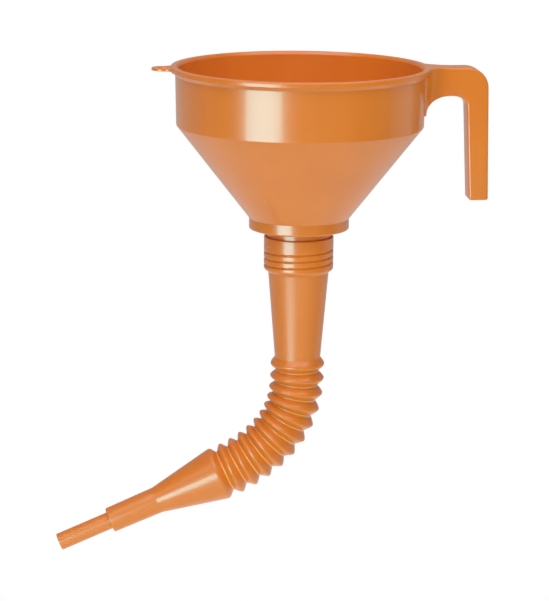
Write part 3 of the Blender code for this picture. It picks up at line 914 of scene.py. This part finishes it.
def wireCloth(s):
    low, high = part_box("strainer_gauze")
    radius = (high.x - low.x) / 2
    wires = int(2 * radius / (s["pitch"] * mm)) // 2 * 2 + 1
    middle = (low + high) / 2
    piece = grown(emptyPiece("strainerCloth"), clothTree(), {
        "Radius": radius, "Pitch": s["pitch"] * mm, "Wire radius": s["wireR"] * mm,
        "Wires": wires, "Middle": middle, "Finish": brassCloth,
    })
    return smoothed(outwardFaces(piece), 80)


clothPiece = wireCloth(clothSizes)
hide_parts("strainer_gauze")
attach(clothPiece, "strainer")
print("strainer done:", len(clothPiece.data.polygons), "faces in the cloth")


# studio: floor, lights, world and camera
studio = {
    "floorZ": -0.62, "floorReach": 30.0, "floorGrey": 0.30, "nearGlow": 0.70, "nearReach": 1.5, "nearFade": 0.7,
    "farGlow": 0.05, "backGlow": 0.45, "backStart": 0.25, "roomGlow": 0.06, "roomBehind": 0.3,
    "aim": (-0.1104, 0.0, -0.06),
}
cameraSizes = {
    "place": (-0.2814, -1.5455, 0.2455), "turn": -5.77, "lookDown": 12.44, "roll": 0.52,
    "lens": 166.7, "sensorWidth": 36.0,
}


def floorPlane(s):
    # pale, and white wherever the camera sees it; it also glows though it is no lamp, as painted light: in
    # reflections and in the light it throws up at the funnel, a bright pool near the funnel, the room in front
    # dim
    material, tree, shader = newMaterial("paleFloor", Roughness=0.9, Specular_IOR_Level=0.0)
    ray = addNode(tree, "ShaderNodeLightPath", output=0)
    place = addNode(tree, "ShaderNodeTexCoord", output=3)
    split = addNode(tree, "ShaderNodeSeparateXYZ", inputs={"Vector": place}).socket.node
    x, y = Wire(tree, split.outputs[0]), Wire(tree, split.outputs[1])
    away = (x * x + y * y).math("SQRT").math("MAXIMUM", 0.01)
    # painted glow: strong within reach of the funnel, then dim in front and brighter behind
    near = ((s["nearReach"] - away) / s["nearFade"]).clamped()
    back = (y / away + s["backStart"]).clamped() * s["backGlow"] + s["farGlow"]
    glow = near * s["nearGlow"] + (1.0 - near) * back
    grey = s["floorGrey"]
    pale = mixedColour(tree, ray, (grey, grey, grey, 1.0), (0.0, 0.0, 0.0, 1.0))
    feed(tree, shader.inputs["Base Color"], pale)
    shader.inputs["Emission Color"].default_value = (1.0, 1.0, 1.0, 1.0)
    feed(tree, shader.inputs["Emission Strength"], glow + ray * (1.0 - glow))
    r = s["floorReach"]
    mesh = bpy.data.meshes.new("floor")
    mesh.from_pydata([(-r, -r, 0), (r, -r, 0), (r, r, 0), (-r, r, 0)], [], [(0, 1, 2, 3)])
    floor = linked(bpy.data.objects.new("floor", mesh))
    floor.location = (axisTop.x, 0.0, s["floorZ"])
    floor.data.materials.append(material)


def softBox(name, place, width, height, radiance, lights=True, shows=True, tint=(1.0, 1.0, 1.0)):
    # metres; lights is whether it lights surfaces, shows whether it is seen in their gloss
    data = bpy.data.lights.new(name, "AREA")
    data.shape = "RECTANGLE"
    data.size, data.size_y = width, height
    data.energy = radiance * width * height * math.pi  # a flat light's power for this brightness
    data.color = tint
    light = linked(bpy.data.objects.new(name, data))
    light.location = place
    light.rotation_euler = (Vector(place) - Vector(studio["aim"])).to_track_quat("Z", "Y").to_euler()
    light.visible_camera = False
    light.visible_diffuse = lights
    light.visible_glossy = shows


def around(angle, distance, z):
    # a place seen from the funnel's axis, angle clockwise from the camera's side (-Y), seen from above
    a = math.radians(angle)
    return (axisTop.x - distance * math.sin(a), -distance * math.cos(a), z)


def studioLights():
    softBox("keyStrip", around(39.5, 1.25, -0.30), 0.76, 0.62, 11.5, lights=False, tint=(0.35, 0.95, 1.0))
    softBox("sideCard", around(-100, 1.25, -0.15), 0.70, 0.80, 0.4, lights=False)
    softBox("frontLeft", around(40, 1.13, 1.07), 1.2, 1.2, 1.2)
    softBox("frontRight", around(-40, 1.13, 1.07), 1.2, 1.2, 0.7)
    softBox("frontFill", around(8, 1.5, 0.75), 2.4, 1.2, 1.03, shows=False, tint=(1.05, 1.0, 0.85))
    softBox("underFill", around(10, 0.7, -0.60), 1.6, 0.9, 1.75, shows=False, tint=(0.70, 1.0, 0.7))
    softBox("overhead", (axisTop.x, -0.35, 1.5), 2.2, 1.8, 1.4, tint=(1.0, 1.0, 1.15))


def studioWorld(s):
    world = bpy.data.worlds.new("studio")
    scene.world = world
    world.use_nodes = True
    tree = world.node_tree
    ray = addNode(tree, "ShaderNodeLightPath", output=0)
    way = addNode(tree, "ShaderNodeTexCoord", output=0)
    split = addNode(tree, "ShaderNodeSeparateXYZ", inputs={"Vector": way}).socket.node
    behind = (Wire(tree, split.outputs[1]) * 1.2 + 0.2).clamped()
    glow = s["roomGlow"] + behind * s["roomBehind"]
    glow = glow + ray * (1.0 - glow)
    sky = tree.nodes["Background"]
    sky.inputs["Color"].default_value = (1.0, 1.0, 1.0, 1.0)
    feed(tree, sky.inputs["Strength"], glow)


def studioCamera(s):
    data = bpy.data.cameras.new("camera")
    data.sensor_fit = "HORIZONTAL"
    data.sensor_width = s["sensorWidth"]
    data.lens = s["lens"]
    data.clip_end = 100.0
    camera = linked(bpy.data.objects.new("camera", data))
    camera.location = s["place"]
    turn = Matrix.Rotation(math.radians(s["turn"]), 3, "Z")
    pitch = Matrix.Rotation(math.radians(90 - s["lookDown"]), 3, "X")
    roll = Matrix.Rotation(math.radians(s["roll"]), 3, "Z")
    camera.rotation_euler = (turn @ pitch @ roll).to_euler()
    scene.camera = camera


floorPlane(studio)
studioLights()
studioWorld(studio)
studioCamera(cameraSizes)
scene.view_settings.view_transform = "Standard"
print("studio done")
